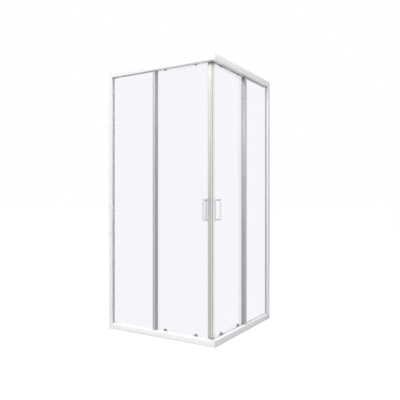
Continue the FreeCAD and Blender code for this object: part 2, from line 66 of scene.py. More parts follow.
def link(tree, source, target):
    tree.links.new(source, target)


def mathNode(tree, operation, first, second):
    node = tree.nodes.new("ShaderNodeMath")
    node.operation = operation
    for socket, value in zip(node.inputs, (first, second)):
        if isinstance(value, (int, float)):
            socket.default_value = value
        else:
            link(tree, value, socket)
    return node.outputs[0]


# What all finishes share: the two parts of the grain, the span of its mask that turns the gloss,
# the height of the bump and how far light scatters, both in metres
surface = {
    "fineShare": 0.4, "broadShare": 0.6, "fineDetail": 2.0, "broadDetail": 3.0, "maskLow": 0.3, "maskHigh": 0.7,
    "bumpHeight": 0.0002, "scatter": 0.002, "ior": 1.5, "broad": 6,
}


def grainGroup():
    # fine uneven surface: a mask for colour and gloss, and a height for the bump
    group = bpy.data.node_groups.new("surfaceGrain", "ShaderNodeTree")
    newSocket(group, "Place", "NodeSocketVector")
    newSocket(group, "Stretch", "NodeSocketVector", "INPUT", (1.0, 1.0, 1.0))
    newSocket(group, "Fine", "NodeSocketFloat", "INPUT", 900.0)
    newSocket(group, "Broad", "NodeSocketFloat", "INPUT", 6.0)
    newSocket(group, "Mask", "NodeSocketFloat", "OUTPUT")
    newSocket(group, "Height", "NodeSocketFloat", "OUTPUT")
    start = group.nodes.new("NodeGroupInput")
    end = group.nodes.new("NodeGroupOutput")
    scaled = group.nodes.new("ShaderNodeVectorMath")
    scaled.operation = "MULTIPLY"
    link(group, start.outputs["Place"], scaled.inputs[0])
    link(group, start.outputs["Stretch"], scaled.inputs[1])
    fine = group.nodes.new("ShaderNodeTexNoise")
    fine.inputs["Detail"].default_value = surface["fineDetail"]
    link(group, scaled.outputs[0], fine.inputs["Vector"])
    link(group, start.outputs["Fine"], fine.inputs["Scale"])
    broad = group.nodes.new("ShaderNodeTexNoise")
    broad.inputs["Detail"].default_value = surface["broadDetail"]
    link(group, start.outputs["Place"], broad.inputs["Vector"])
    link(group, start.outputs["Broad"], broad.inputs["Scale"])
    both = mathNode(group, "MULTIPLY", fine.outputs["Fac"], surface["fineShare"])
    cloud = mathNode(group, "MULTIPLY", broad.outputs["Fac"], surface["broadShare"])
    link(group, mathNode(group, "ADD", both, cloud), end.inputs["Mask"])
    link(group, fine.outputs["Fac"], end.inputs["Height"])
    return group


surfaceGrain = grainGroup()


def finish(name, look):
    # one Principled surface with its own grain, cloudiness and gloss
    material = bpy.data.materials.new(name)
    material.use_nodes = True
    tree = material.node_tree
    shader = tree.nodes["Principled BSDF"]
    place = tree.nodes.new("ShaderNodeTexCoord").outputs["Object"]
    grain = tree.nodes.new("ShaderNodeGroup")
    grain.node_tree = surfaceGrain
    link(tree, place, grain.inputs["Place"])
    grain.inputs["Stretch"].default_value = look.get("stretch", (1, 1, 1))
    grain.inputs["Fine"].default_value = look["fine"]
    grain.inputs["Broad"].default_value = look.get("broad", surface["broad"])
    tint = tree.nodes.new("ShaderNodeMix")
    tint.data_type = "RGBA"
    tint.inputs[6].default_value = (*look["dark"], 1)  # sockets 6 and 7 and output 2 are the colours
    tint.inputs[7].default_value = (*look["light"], 1)
    link(tree, grain.outputs["Mask"], tint.inputs[0])
    link(tree, tint.outputs[2], shader.inputs["Base Color"])
    gloss = tree.nodes.new("ShaderNodeMapRange")
    gloss.inputs["From Min"].default_value = surface["maskLow"]
    gloss.inputs["From Max"].default_value = surface["maskHigh"]
    gloss.inputs["To Min"].default_value = look["rough"][0]
    gloss.inputs["To Max"].default_value = look["rough"][1]
    link(tree, grain.outputs["Mask"], gloss.inputs["Value"])
    link(tree, gloss.outputs[0], shader.inputs["Roughness"])
    bump = tree.nodes.new("ShaderNodeBump")
    bump.inputs["Strength"].default_value = look["bump"]
    bump.inputs["Distance"].default_value = surface["bumpHeight"]
    link(tree, grain.outputs["Height"], bump.inputs["Height"])
    link(tree, bump.outputs[0], shader.inputs["Normal"])
    shader.inputs["Metallic"].default_value = look.get("metal", 0)
    shader.inputs["IOR"].default_value = surface["ior"]
    shader.inputs["Subsurface Weight"].default_value = look.get("depth", 0)
    shader.inputs["Subsurface Scale"].default_value = surface["scatter"]
    return material


def glassFinish(name, look):
    material = finish(name, look)
    tree = material.node_tree
    shader = tree.nodes["Principled BSDF"]
    shader.inputs["Transmission Weight"].default_value = 1.0
    out = tree.nodes["Material Output"]
    clear = tree.nodes.new("ShaderNodeBsdfTransparent")
    clear.inputs["Color"].default_value = (*look["shade"], 1)
    ray = tree.nodes.new("ShaderNodeLightPath")
    pick = tree.nodes.new("ShaderNodeMixShader")
    link(tree, ray.outputs["Is Shadow Ray"], pick.inputs[0])
    link(tree, shader.outputs[0], pick.inputs[1])
    link(tree, clear.outputs[0], pick.inputs[2])
    link(tree, pick.outputs[0], out.inputs["Surface"])
    return material


finishes = {
    "whiteRail": {
        "dark": (0.88, 0.88, 0.875), "light": (0.92, 0.92, 0.915), "rough": (0.3, 0.42), "fine": 1400, "bump": 0.08,
    },
    "whiteProfile": {
        "dark": (0.87, 0.87, 0.87), "light": (0.91, 0.91, 0.91), "rough": (0.32, 0.44), "fine": 1400, "bump": 0.08,
    },
    "silverProfile": {
        "dark": (0.46, 0.46, 0.46), "light": (0.52, 0.52, 0.52), "rough": (0.4, 0.52), "metal": 1,
        "stretch": (1, 1, 0.01), "fine": 2600, "bump": 0.1,
    },
    "doorProfile": {
        "dark": (0.48, 0.48, 0.47), "light": (0.54, 0.54, 0.53), "rough": (0.36, 0.48), "metal": 1,
        "stretch": (1, 1, 0.01), "fine": 2600, "bump": 0.1,
    },
    # a lighter copy of the silver profile: painted sheen for the right door's leading profile, where it catches the
    # light
    "paintedSheenProfile": {
        "dark": (0.78, 0.78, 0.79), "light": (0.84, 0.84, 0.85), "rough": (0.36, 0.48), "metal": 1,
        "stretch": (1, 1, 0.01), "fine": 2600, "bump": 0.1,
    },
    "whitePlastic": {
        "dark": (0.89, 0.89, 0.89), "light": (0.93, 0.93, 0.93), "rough": (0.2, 0.32), "fine": 700, "bump": 0.03,
        "depth": 0.05,
    },
    "capPlastic": {
        "dark": (0.32, 0.32, 0.33), "light": (0.4, 0.4, 0.41), "rough": (0.25, 0.35), "fine": 900, "bump": 0.04,
    },
    "rollerPlastic": {
        "dark": (0.42, 0.42, 0.43), "light": (0.5, 0.5, 0.51), "rough": (0.4, 0.55), "fine": 2200, "bump": 0.12,
    },
    "wheelNylon": {
        "dark": (0.76, 0.76, 0.73), "light": (0.84, 0.84, 0.81), "rough": (0.38, 0.5), "fine": 1800, "bump": 0.06,
        "depth": 0.1,
    },
    "blockPlastic": {
        "dark": (0.08, 0.08, 0.085), "light": (0.12, 0.12, 0.125), "rough": (0.5, 0.65), "fine": 2200, "bump": 0.12,
    },
    "chromeHandle": {
        "dark": (0.74, 0.74, 0.75), "light": (0.82, 0.82, 0.83), "rough": (0.06, 0.12), "metal": 1, "fine": 300,
        "broad": 20, "bump": 0.01,
    },
    "screwSteel": {
        "dark": (0.52, 0.52, 0.52), "light": (0.62, 0.62, 0.61), "rough": (0.2, 0.32), "metal": 1, "fine": 2400,
        "bump": 0.05,
    },
    "springSteel": {
        "dark": (0.45, 0.45, 0.45), "light": (0.56, 0.56, 0.55), "rough": (0.22, 0.34), "metal": 1, "fine": 2400,
        "bump": 0.05,
    },
    "gasket": {
        "dark": (0.33, 0.33, 0.33), "light": (0.41, 0.41, 0.41), "rough": (0.5, 0.65), "fine": 1600, "bump": 0.1,
    },
    "sealStrip": {
        "dark": (0.58, 0.58, 0.56), "light": (0.66, 0.66, 0.64), "rough": (0.45, 0.6), "fine": 1600, "bump": 0.08,
    },
    "magnetSeal": {
        "dark": (0.42, 0.42, 0.41), "light": (0.5, 0.5, 0.49), "rough": (0.32, 0.44), "fine": 1200, "bump": 0.05,
        "depth": 0.15,
    },
    # a lighter copy of the seal colour: painted light for the left magnetic seal and for the rail gaskets that lie in
    # shade
    "paintedLightSeal": {
        "dark": (0.7, 0.7, 0.69), "light": (0.78, 0.78, 0.77), "rough": (0.32, 0.44), "fine": 1200, "bump": 0.05,
        "depth": 0.15,
    },
}
looks = {name: finish(name, look) for name, look in finishes.items()}
looks["glass"] = glassFinish("paneGlass", {
    "dark": (0.915, 0.905, 0.955), "light": (0.925, 0.915, 0.965), "rough": (0.0, 0.015), "fine": 3, "broad": 1.5,
    "bump": 0.0, "shade": (0.93, 0.92, 0.95),
})
print("finishes made:", len(looks))


# Geometry Nodes trees
def extrusionTree():
    # a section face run along a straight path and closed at both ends
    tree = bpy.data.node_groups.new("profileRun", "GeometryNodeTree")
    newSocket(tree, "Section", "NodeSocketGeometry")
    newSocket(tree, "Run", "NodeSocketVector")
    newSocket(tree, "Finish", "NodeSocketMaterial")
    newSocket(tree, "Profile", "NodeSocketGeometry", "OUTPUT")
    start = tree.nodes.new("NodeGroupInput")
    end = tree.nodes.new("NodeGroupOutput")
    push = tree.nodes.new("GeometryNodeExtrudeMesh")
    push.mode = "FACES"
    push.inputs["Individual"].default_value = False
    turn = tree.nodes.new("GeometryNodeFlipFaces")
    both = tree.nodes.new("GeometryNodeJoinGeometry")
    weld = tree.nodes.new("GeometryNodeMergeByDistance")
    weld.inputs["Distance"].default_value = 0.000001
    real = tree.nodes.new("GeometryNodeRealizeInstances")
    paint = tree.nodes.new("GeometryNodeSetMaterial")
    link(tree, start.outputs["Section"], push.inputs["Mesh"])
    link(tree, start.outputs["Run"], push.inputs["Offset"])
    link(tree, start.outputs["Section"], turn.inputs["Mesh"])
    link(tree, push.outputs["Mesh"], both.inputs[0])
    link(tree, turn.outputs["Mesh"], both.inputs[0])
    link(tree, both.outputs[0], weld.inputs["Geometry"])
    link(tree, weld.outputs[0], real.inputs[0])
    link(tree, real.outputs[0], paint.inputs["Geometry"])
    link(tree, start.outputs["Finish"], paint.inputs["Material"])
    link(tree, paint.outputs[0], end.inputs[0])
    return tree


def setOutTree():
    # one shape placed on every point of a setting-out mesh
    tree = bpy.data.node_groups.new("setOut", "GeometryNodeTree")
    newSocket(tree, "Places", "NodeSocketGeometry")
    newSocket(tree, "Shape", "NodeSocketObject")
    newSocket(tree, "Turn", "NodeSocketRotation")
    newSocket(tree, "Finish", "NodeSocketMaterial")
    newSocket(tree, "Pieces", "NodeSocketGeometry", "OUTPUT")
    start = tree.nodes.new("NodeGroupInput")
    end = tree.nodes.new("NodeGroupOutput")
    shape = tree.nodes.new("GeometryNodeObjectInfo")
    copies = tree.nodes.new("GeometryNodeInstanceOnPoints")
    real = tree.nodes.new("GeometryNodeRealizeInstances")
    paint = tree.nodes.new("GeometryNodeSetMaterial")
    link(tree, start.outputs["Shape"], shape.inputs[0])
    link(tree, start.outputs["Places"], copies.inputs["Points"])
    link(tree, shape.outputs["Geometry"], copies.inputs["Instance"])
    link(tree, start.outputs["Turn"], copies.inputs["Rotation"])
    link(tree, copies.outputs[0], real.inputs[0])
    link(tree, real.outputs[0], paint.inputs["Geometry"])
    link(tree, start.outputs["Finish"], paint.inputs["Material"])
    link(tree, paint.outputs[0], end.inputs[0])
    return tree


profileRun = extrusionTree()
setOut = setOutTree()


def setInputs(modifier, values):
    for item in modifier.node_group.interface.items_tree:
        if item.in_out == "INPUT" and item.name in values:
            modifier[item.identifier] = values[item.name]


def newObject(name, mesh):
    obj = bpy.data.objects.new(name, mesh)
    bpy.context.collection.objects.link(obj)
    return obj


def shaded(obj):
    # large flat faces stay flat to the eye, and only the eased edges turn the light
    obj.data.shade_smooth()
    obj.data.set_sharp_from_angle(angle=math.radians(50))
    weight = obj.modifiers.new("weights", "WEIGHTED_NORMAL")
    weight.mode = "FACE_AREA"
    weight.weight = 100
    weight.keep_sharp = True
    bpy.context.view_layer.update()
    mesh = bpy.data.meshes.new_from_object(obj.evaluated_get(bpy.context.evaluated_depsgraph_get()))
    obj.modifiers.clear()
    obj.data = mesh
    return obj


def solidify(obj, edge=0.0, steps=2, limit=35):
    # modifiers worked out into a plain closed mesh with its edges eased
    if edge:
        bevel = obj.modifiers.new("edges", "BEVEL")
        bevel.width = edge * mm
        bevel.segments = steps
        bevel.limit_method = "ANGLE"
        bevel.angle_limit = math.radians(limit)
        bevel.harden_normals = False
    bpy.context.view_layer.update()
    mesh = bpy.data.meshes.new_from_object(obj.evaluated_get(bpy.context.evaluated_depsgraph_get()))
    obj.modifiers.clear()
    tidy = bmesh.new()
    tidy.from_mesh(mesh)
    bmesh.ops.remove_doubles(tidy, verts=tidy.verts, dist=1e-7)
    bmesh.ops.recalc_face_normals(tidy, faces=tidy.faces)
    tidy.to_mesh(mesh)
    tidy.free()
    obj.data = mesh
    return shaded(obj)


def joined(name, parts):
    whole = bmesh.new()
    for part in parts:
        whole.from_mesh(part.data)
    mesh = bpy.data.meshes.new(name)
    whole.to_mesh(mesh)
    whole.free()
    for part in parts:
        bpy.data.objects.remove(part)
    return shaded(newObject(name, mesh))


def fitPiece(obj, body, slot, *nodes, look=None):
    obj.data.materials.clear()
    obj.data.materials.append(looks[look or slot])
    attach(obj, body)
    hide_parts(*nodes)


def roundedLoop(corners, steps=4):
    # corners are (a, b) or (a, b, radius)
    points = []
    for i, corner in enumerate(corners):
        here = Vector(corner[:2])
        radius = corner[2] if len(corner) > 2 else 0
        if not radius:
            points.append(here)
            continue
        back = (Vector(corners[i - 1][:2]) - here).normalized()
        ahead = (Vector(corners[(i + 1) % len(corners)][:2]) - here).normalized()
        half = back.angle(ahead) / 2
        centre = here + (back + ahead).normalized() * (radius / math.sin(half))
        first = here + back * (radius / math.tan(half)) - centre
        last = here + ahead * (radius / math.tan(half)) - centre
        begin = math.atan2(first.y, first.x)
        sweep = (math.atan2(last.y, last.x) - begin + math.pi) % (2 * math.pi) - math.pi
        for k in range(steps + 1):
            angle = begin + sweep * k / steps
            points.append(centre + Vector((math.cos(angle), math.sin(angle))) * radius)
    return points


def profile(name, side, corners, low, high, upright=False, edge=0.3, holes=()):
    # a section (d, z) run along the wing, or a section (u, d) run upwards
    section = bmesh.new()
    loops = []
    for outline in (corners, *holes):
        if upright:
            points = [wingPoint(side, p.x, p.y, low) for p in roundedLoop(outline)]
        else:
            points = [wingPoint(side, low, p.x, p.y) for p in roundedLoop(outline)]
        loops.append([section.verts.new(p) for p in points])
    along = (0, 0, 1) if upright else (1, 0, 0)
    run = wingPoint(side, *(high * step for step in along)) - wingPoint(side, *(low * step for step in along))
    if holes:
        edges = [section.edges.new(pair) for loop in loops for pair in zip(loop, loop[1:] + loop[:1])]
        bmesh.ops.triangle_fill(section, use_beauty=True, edges=edges, normal=run.normalized())
    else:
        section.faces.new(loops[0])
    mesh = bpy.data.meshes.new(name)
    section.to_mesh(mesh)
    section.free()
    obj = newObject(name, mesh)
    sweep = obj.modifiers.new("run", "NODES")
    sweep.node_group = profileRun
    setInputs(sweep, {"Run": run})
    return solidify(obj, edge)


def upsideDown(corners):
    # the same section at the head of the enclosure
    return [(c[0], wing["height"] - c[1]) + tuple(c[2:]) for c in corners]


def lathed(name, corners, steps=48):
    # corners (radius, height) from pole to pole, turned about +Z
    shape = bmesh.new()
    line = [shape.verts.new((p.x * mm, 0, p.y * mm)) for p in roundedLoop(corners)]
    edges = [shape.edges.new(pair) for pair in zip(line, line[1:] + line[:1])]
    bmesh.ops.spin(shape, geom=line + edges, cent=(0, 0, 0), axis=(0, 0, 1), angle=2 * math.pi, steps=steps)
    bmesh.ops.remove_doubles(shape, verts=shape.verts, dist=1e-7)
    bmesh.ops.dissolve_degenerate(shape, edges=shape.edges, dist=1e-8)
    bmesh.ops.recalc_face_normals(shape, faces=shape.faces)
    mesh = bpy.data.meshes.new(name)
    shape.to_mesh(mesh)
    shape.free()
    return newObject(name, mesh)


def placed(name, side, shape, places, way=(0, 1, 0)):
    # copies of a shape drawn about +Z, set at (u, d, z) and turned to point that way
    mesh = bpy.data.meshes.new(name)
    mesh.from_pydata([wingPoint(side, *place) for place in places], [], [])
    obj = newObject(name, mesh)
    copies = obj.modifiers.new("places", "NODES")
    copies.node_group = setOut
    setInputs(copies, {"Shape": shape, "Turn": pointing(side, way)})
    return solidify(obj)


def dressed(name, node, edge, steps=2, limit=35):
    # a copy of a construction solid with its flat faces whole and its edges eased
    copy = bmesh.new()
    copy.from_mesh(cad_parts[node].data)
    bmesh.ops.remove_doubles(copy, verts=copy.verts, dist=1e-6)
    bmesh.ops.dissolve_limit(copy, angle_limit=math.radians(0.5), verts=copy.verts, edges=copy.edges)
    mesh = bpy.data.meshes.new(name)
    copy.to_mesh(mesh)
    copy.free()
    return solidify(newObject(name, mesh), edge, steps, limit)


def flatShape(name, side, outlines, front, back, edge):
    # outlines (u, z) filled and given a thickness from d front to back, edges rounded
    curve = bpy.data.curves.new(name, "CURVE")
    curve.dimensions = "2D"
    curve.fill_mode = "BOTH"
    for points in outlines:
        spline = curve.splines.new("POLY")
        spline.points.add(len(points) - 1)
        for knot, p in zip(spline.points, points):
            knot.co = (p[0] * mm, p[1] * mm, 0, 1)
        spline.use_cyclic_u = True
    curve.bevel_depth = edge * mm
    curve.bevel_resolution = 2
    curve.offset = -edge * mm
    curve.extrude = (back - front) / 2 * mm - edge * mm
    drawn = newObject(name + "Outline", curve)
    bpy.context.view_layer.update()
    mesh = bpy.data.meshes.new_from_object(drawn.evaluated_get(bpy.context.evaluated_depsgraph_get()))
    bpy.data.objects.remove(drawn)
    for vertex in mesh.vertices:
        u, z, lift = vertex.co / mm
        vertex.co = wingPoint(side, u, (front + back) / 2 + lift, z)
    return solidify(newObject(name, mesh))


def ring(u, z, radius, steps=40):
    turns = [2 * math.pi * k / steps for k in range(steps)]
    return [(u + radius * math.cos(turn), z + radius * math.sin(turn)) for turn in turns]


def plateOutline(u, z, wide, tall, radius, steps):
    # a rectangle about (u, z) with rounded corners
    left, right, low, high = u - wide / 2, u + wide / 2, z - tall / 2, z + tall / 2
    corners = [(left, low, radius), (right, low, radius), (right, high, radius), (left, high, radius)]
    return [(p.x, p.y) for p in roundedLoop(corners, steps)]


# Rails
rails = {
    "height": 44, "depth": 66, "wall": 1.6, "crown": 3, "crownSteps": 12, "edgeRound": 1.2, "innerRound": 0.5,
    "boxDepth": 18, "cheek": 27, "cheekHeight": 47, "back": 36.6, "lip": 57.4, "lipEdge": 32,
    "start": 50, "troughStart": 66, "end": 872, "portDepth": 13.4, "portHeight": 22, "portSide": 6, "portBore": 1.75,
    "boreSteps": 24, "edge": 0.2,
}


def crownCurve():
    # how far the crowned face lies back at each share of its height
    count = rails["crownSteps"]
    return [(rails["crown"] * (2 * k / count - 1) ** 2, k / count) for k in range(count + 1)]


def crownFace(height):
    curve = [(depth, height * share) for depth, share in crownCurve()]
    return [curve[0] + (rails["edgeRound"],)] + curve[1:-1] + [curve[-1] + (rails["edgeRound"],)]


def railHollows():
    # the hollow of the box, drawn round the port for the end screw, and the bore in that port
    tall, wall, half = rails["height"], rails["wall"], rails["portSide"] / 2
    back = rails["boxDepth"] - wall
    port, middle = back - rails["portSide"], rails["portHeight"]
    front = [(depth + wall, wall + (tall - 2 * wall) * share) for depth, share in crownCurve()]
    room = front + [
        (back, tall - wall), (back, middle + half), (port, middle + half), (port, middle - half),
        (back, middle - half), (back, wall),
    ]
    return [room, ring(rails["portDepth"], middle, rails["portBore"], rails["boreSteps"])]


def railSection(whole):
    tall, wall, small = rails["height"], rails["wall"], rails["innerRound"]
    inner, high = rails["cheek"] + wall, rails["cheekHeight"]
    corners = crownFace(tall) + [
        (rails["boxDepth"], tall, small),
        (rails["boxDepth"], wall),
        (rails["cheek"], wall),
        (rails["cheek"], high, small),
        (inner, high, small),
    ]
    if not whole:
        return corners + [(inner, 0)]
    lip, deep, back = rails["lip"], rails["depth"], rails["back"]
    return corners + [
        (inner, wall, small),
        (deep - wall, wall, small),
        (deep - wall, back - wall),
        (lip + wall, back - wall),
        (lip + wall, rails["lipEdge"], small),
        (lip, rails["lipEdge"], small),
        (lip, back, rails["edgeRound"]),
        (deep, back, rails["edgeRound"]),
        (deep, 0, small),
    ]


for side in wing["sides"]:
    for place in ("bottom", "top"):
        front, whole, hollows = railSection(False), railSection(True), railHollows()
        if place == "top":
            front, whole = upsideDown(front), upsideDown(whole)
            hollows = [upsideDown(hollow) for hollow in hollows]
        name = place + "Rail" + side.capitalize()
        middle, edge = rails["troughStart"], rails["edge"]
        short = profile(name + "Front", side, front, rails["start"], middle, edge=edge, holes=hollows)
        long = profile(name + "Long", side, whole, middle, rails["end"], edge=edge, holes=hollows)
        fitPiece(joined(name, [short, long]), "frame", "whiteRail", place + "_rail_" + side)
print("rails made")

# Corner blocks
cornerBlocks = {"edge": 0.5, "edgeSteps": 3, "edgeLimit": 40}
for place in ("bottom", "top"):
    eased = (cornerBlocks["edge"], cornerBlocks["edgeSteps"], cornerBlocks["edgeLimit"])
    block = dressed(place + "CornerBlock", "corner_block_" + place, *eased)
    fitPiece(block, "frame", "whitePlastic", "corner_block_" + place)

# Wall posts
posts = {
    "near": 872, "far": 892, "front": 1.8, "wall": 1.5, "web": 16.5, "pocket": 886.5, "back": 27,
    "edge": 0.25, "round": 1.2, "small": 0.4,
}


def stileSection():
    # a channel that is open to the wall, and behind it the pocket for the fixed glass
    near, far, front, web, pocket, back = (posts[key] for key in ("near", "far", "front", "web", "pocket", "back"))
    wall, small = posts["wall"], posts["small"]
    return [
        (near, front, posts["round"]),
        (far, front),
        (far, front + wall),
        (near + wall, front + wall),
        (near + wall, web),
        (pocket + wall, web),
        (pocket + wall, back),
        (far, back),
        (far, back + wall),
        (near, back + wall, small),
        (near, back, small),
        (pocket, back),
        (pocket, web + wall),
        (near, web + wall, small),
    ]


for side in wing["sides"]:
    stile = profile("wallStile" + side.capitalize(), side, stileSection(), 0, wing["height"], True, posts["edge"])
    fitPiece(stile, "frame", "whiteProfile", "wall_stile_" + side)
    channel = dressed("wallChannel" + side.capitalize(), "wall_channel_" + side, posts["edge"])
    fitPiece(channel, "frame", "whiteProfile", "wall_channel_" + side)
print("posts made")

# Uprights where the fixed panel and the door overlap
uprights = {
    "near": 488, "far": 509, "front": 17, "back": 28, "low": 44, "high": 1856, "round": 1.5, "small": 0.5,
    "grooveFront": 19.8, "grooveBack": 25.2, "grooveEnd": 498.6,
    "hookRoot": 27.5, "hookDeep": 42.4, "hookEnd": 497, "hookLow": 59.5, "hookHigh": 1850.5, "hookEdge": 0.2,
    "thick": 1.5, "webDeep": 37.4, "webThick": 1.4,
}
doorProfiles = {
    "front": 43, "back": 53, "low": 29, "high": 1871, "grooveFront": 45.3, "grooveBack": 50.7,
    "trailGroove": 503, "hookRoot": 44, "hookFront": 32.25, "hookEnd": 492.5,
    "leadNear": 50, "leadFar": 77, "leadGroove": 66, "leadBack": 60,
}
magneticSeals = {
    # the left seal takes the lighter copy of the seal colour: painted light, not a different seal
    "edge": 0.15, "looks": {"left": "paintedLightSeal", "right": "magnetSeal"},
    # the wedge that lies against the other door's, and the barbed foot in the leading profile
    "section": [
        (43.4, 43, 0.4), (49.9, 43), (54, 47.1), (59.22, 47.1), (59.22, 46.2), (60.72, 47.1), (60.72, 48.9),
        (59.22, 49.8), (59.22, 48.9), (55.8, 48.9), (59.9, 53), (53.4, 53, 0.4),
    ],
}


def fixedSections():
    # body with a groove for the fixed glass, hook behind it, and the web that closes the hook's two ends
    near, far, front, back = (uprights[key] for key in ("near", "far", "front", "back"))
    inner, outer, end = uprights["grooveBack"], uprights["grooveFront"], uprights["grooveEnd"]
    root, deep, tip, thick = (uprights[key] for key in ("hookRoot", "hookDeep", "hookEnd", "thick"))
    big, small = uprights["round"], uprights["small"]
    webEnd, webDeep = near + uprights["webThick"], uprights["webDeep"]
    body = [
        (near, front, big), (far, front, big), (far, outer), (end, outer), (end, inner), (far, inner),
        (far, back, small), (near, back),
    ]
    hook = [
        (near, root), (near, deep, small), (tip, deep, small), (tip, deep - thick, small),
        (near + thick, deep - thick), (near + thick, root),
    ]
    return body, hook, [(near, root), (near, webDeep), (webEnd, webDeep), (webEnd, root)]


def doorSections():
    # trailing body and its hook, and the leading body, each with a groove for the door glass
    near, far, big, small = (uprights[key] for key in ("near", "far", "round", "small"))
    front, back, outer, inner = (doorProfiles[key] for key in ("front", "back", "grooveFront", "grooveBack"))
    end, root, face, tip = (doorProfiles[key] for key in ("trailGroove", "hookRoot", "hookFront", "hookEnd"))
    thick = uprights["thick"]
    body = [
        (near, front, small), (far, front), (far, back, big), (near, back, big), (near, inner), (end, inner),
        (end, outer), (near, outer),
    ]
    hook = [
        (far, root), (far, face, small), (tip, face, small), (tip, face + thick, small),
        (far - thick, face + thick), (far - thick, root),
    ]
    start, stop, groove, rear = (doorProfiles[key] for key in ("leadNear", "leadFar", "leadGroove", "leadBack"))
    leading = [
        (start, front, big), (stop, front, big), (stop, outer), (groove, outer), (groove, inner), (stop, inner),
        (stop, back, small), (rear, back, small),
    ]
    return body, hook, leading


for side in wing["sides"]:
    tag = side.capitalize()
    hookSpan, hookEdge = (uprights["hookLow"], uprights["hookHigh"]), uprights["hookEdge"]
    body, hook, web = fixedSections()
    pieces = [
        profile("uprightBody" + tag, side, body, uprights["low"], uprights["high"], True),
        profile("uprightHook" + tag, side, hook, *hookSpan, True, hookEdge),
        profile("uprightFoot" + tag, side, web, uprights["low"], uprights["hookLow"], True, 0),
        profile("uprightHead" + tag, side, web, uprights["hookHigh"], uprights["high"], True, 0),
    ]
    fitPiece(joined("fixedUpright" + tag, pieces), "frame", "silverProfile", "fixed_upright_" + side)
    doorSpan = (doorProfiles["low"], doorProfiles["high"])
    body, hook, lead = doorSections()
    pieces = [
        profile("trailingBody" + tag, side, body, *doorSpan, True),
        profile("trailingHook" + tag, side, hook, *hookSpan, True, hookEdge),
    ]
    trailing = joined("doorTrailingProfile" + tag, pieces)
    fitPiece(trailing, "door_" + side, "silverProfile", "door_trailing_profile_" + side, look="doorProfile")
    leading = profile("doorLeadingProfile" + tag, side, lead, *doorSpan, True)
    # the right leading profile takes the lighter copy of the silver: painted sheen, not a different metal
    leadLook = {"left": "doorProfile", "right": "paintedSheenProfile"}[side]
    fitPiece(leading, "door_" + side, "silverProfile", "door_leading_profile_" + side, look=leadLook)
    seal = profile("magneticSeal" + tag, side, magneticSeals["section"], *doorSpan, True, magneticSeals["edge"])
    fitPiece(seal, "door_" + side, "magnetSeal", "magnetic_seal_" + side, look=magneticSeals["looks"][side])
print("door profiles made")

# Glass
panes = {
    "edge": 0.5,
    "air": 0.1,  # between a pane and what is pressed on it, so that both faces show
    "fixed": {"u": (498.8, 884.5), "z": (16, 1884), "d": (20, 25)},
    "door": {"u": (66.2, 502.8), "z": (22, 1888), "d": (45.5, 50.5)},
}
rollers = {
    "places": (172, 420), "topStud": 1864, "lowStud": 43, "holeRound": 6.3, "capFront": 38,
    "knob": [(0, 0.6), (8.5, 0.6, 2), (9.3, 0, 0.4), (12, 0, 1.6), (12, 7.5, 0.3), (0, 7.5)],
    "lowCap": {"wide": 22, "tall": 30, "round": 10.5, "steps": 12, "edge": 1.6},
    "gear": {
        "topRollerBushes": ("top_roller_bushes_", "rollerPlastic", 0.4),
        "bottomRollerGuides": ("bottom_roller_guides_", "rollerPlastic", 0.3),
        "releaseSprings": ("release_springs_", "springSteel", 0.12),
    },
    "releaseEdge": 0.35,
    "wheels": {"top": {"z": 1878.3, "groove": 10, "axle": 2.55}, "bottom": {"z": 24.7, "groove": 7, "axle": 1.55}},
    "wheelFront": 55.4, "wheelWide": 5.6, "rimRise": 2.5, "wheelSteps": 64,
}
handles = {
    "u": 93, "heights": (823, 953), "holeRound": 4, "middle": 888, "long": 150, "cornerRound": 3, "cornerSteps": 6,
    "barWide": 14, "barFront": 4.5, "barThick": 7, "barEdge": 2.4,
    "postRound": 5.5, "neckRise": 1.5, "neckRound": 1.2, "footRound": 7.5, "footThick": 1.2, "footEase": 0.4,
    "plateWide": 18, "plateThick": 3, "plateEdge": 0.9,
    "screwHead": [(0, 0), (4.5, 0, 0.3), (4.5, 1.2, 1.1), (2.6, 2.5, 0.8), (2.0, 2.5), (1.9, 1.2), (0, 1.0)],
    "screwSteps": 36,
}


def paneShape(name, side, pane, holes=()):
    air = panes["air"]
    left, right = pane["u"][0] + air, pane["u"][1] - air
    low, high = pane["z"][0] + air, pane["z"][1] - air
    border = [(left, low), (right, low), (right, high), (left, high)]
    return flatShape(name, side, [border, *holes], pane["d"][0] + air, pane["d"][1] - air, panes["edge"])


for side in wing["sides"]:
    tag = side.capitalize()
    fitPiece(paneShape("fixedGlass" + tag, side, panes["fixed"]), "frame", "glass", "fixed_glass_" + side)
    cuts = [ring(handles["u"], z, handles["holeRound"]) for z in handles["heights"]]
    for u in rollers["places"]:
        cuts += [ring(u, rollers["topStud"], rollers["holeRound"]), ring(u, rollers["lowStud"], rollers["holeRound"])]
    door = paneShape("doorGlass" + tag, side, panes["door"], cuts)
    fitPiece(door, "door_" + side, "glass", "door_glass_" + side)
print("glass made")


# Handles
def handleOutline(wide):
    corner, steps = handles["cornerRound"], handles["cornerSteps"]
    return plateOutline(handles["u"], handles["middle"], wide, handles["long"], corner, steps)


def gripShape(side):
    tag = side.capitalize()
    front, thick = handles["barFront"], handles["barThick"]
    outline = handleOutline(handles["barWide"])
    bar = flatShape("gripBar" + tag, side, [outline], front, front + thick, handles["barEdge"])
    reach = panes["door"]["d"][0] - front - thick / 2
    neck, foot, rise = handles["postRound"], handles["footRound"], reach - handles["footThick"]
    post = lathed("gripPost" + tag, [
        (0, 0), (neck, 0), (neck, rise - handles["neckRise"], handles["neckRound"]),
        (foot, rise, handles["footEase"]), (foot, reach), (0, reach),
    ])
    legs = placed("gripLegs" + tag, side, post, [(handles["u"], front + thick / 2, z) for z in handles["heights"]])
    bpy.data.objects.remove(post)
    union = bar.modifiers.new("legs", "BOOLEAN")
    union.operation = "UNION"
    union.solver = "EXACT"
    union.object = legs
    solidify(bar)
    bpy.data.objects.remove(legs)
    bar.name = "handleGrip" + tag
    return bar


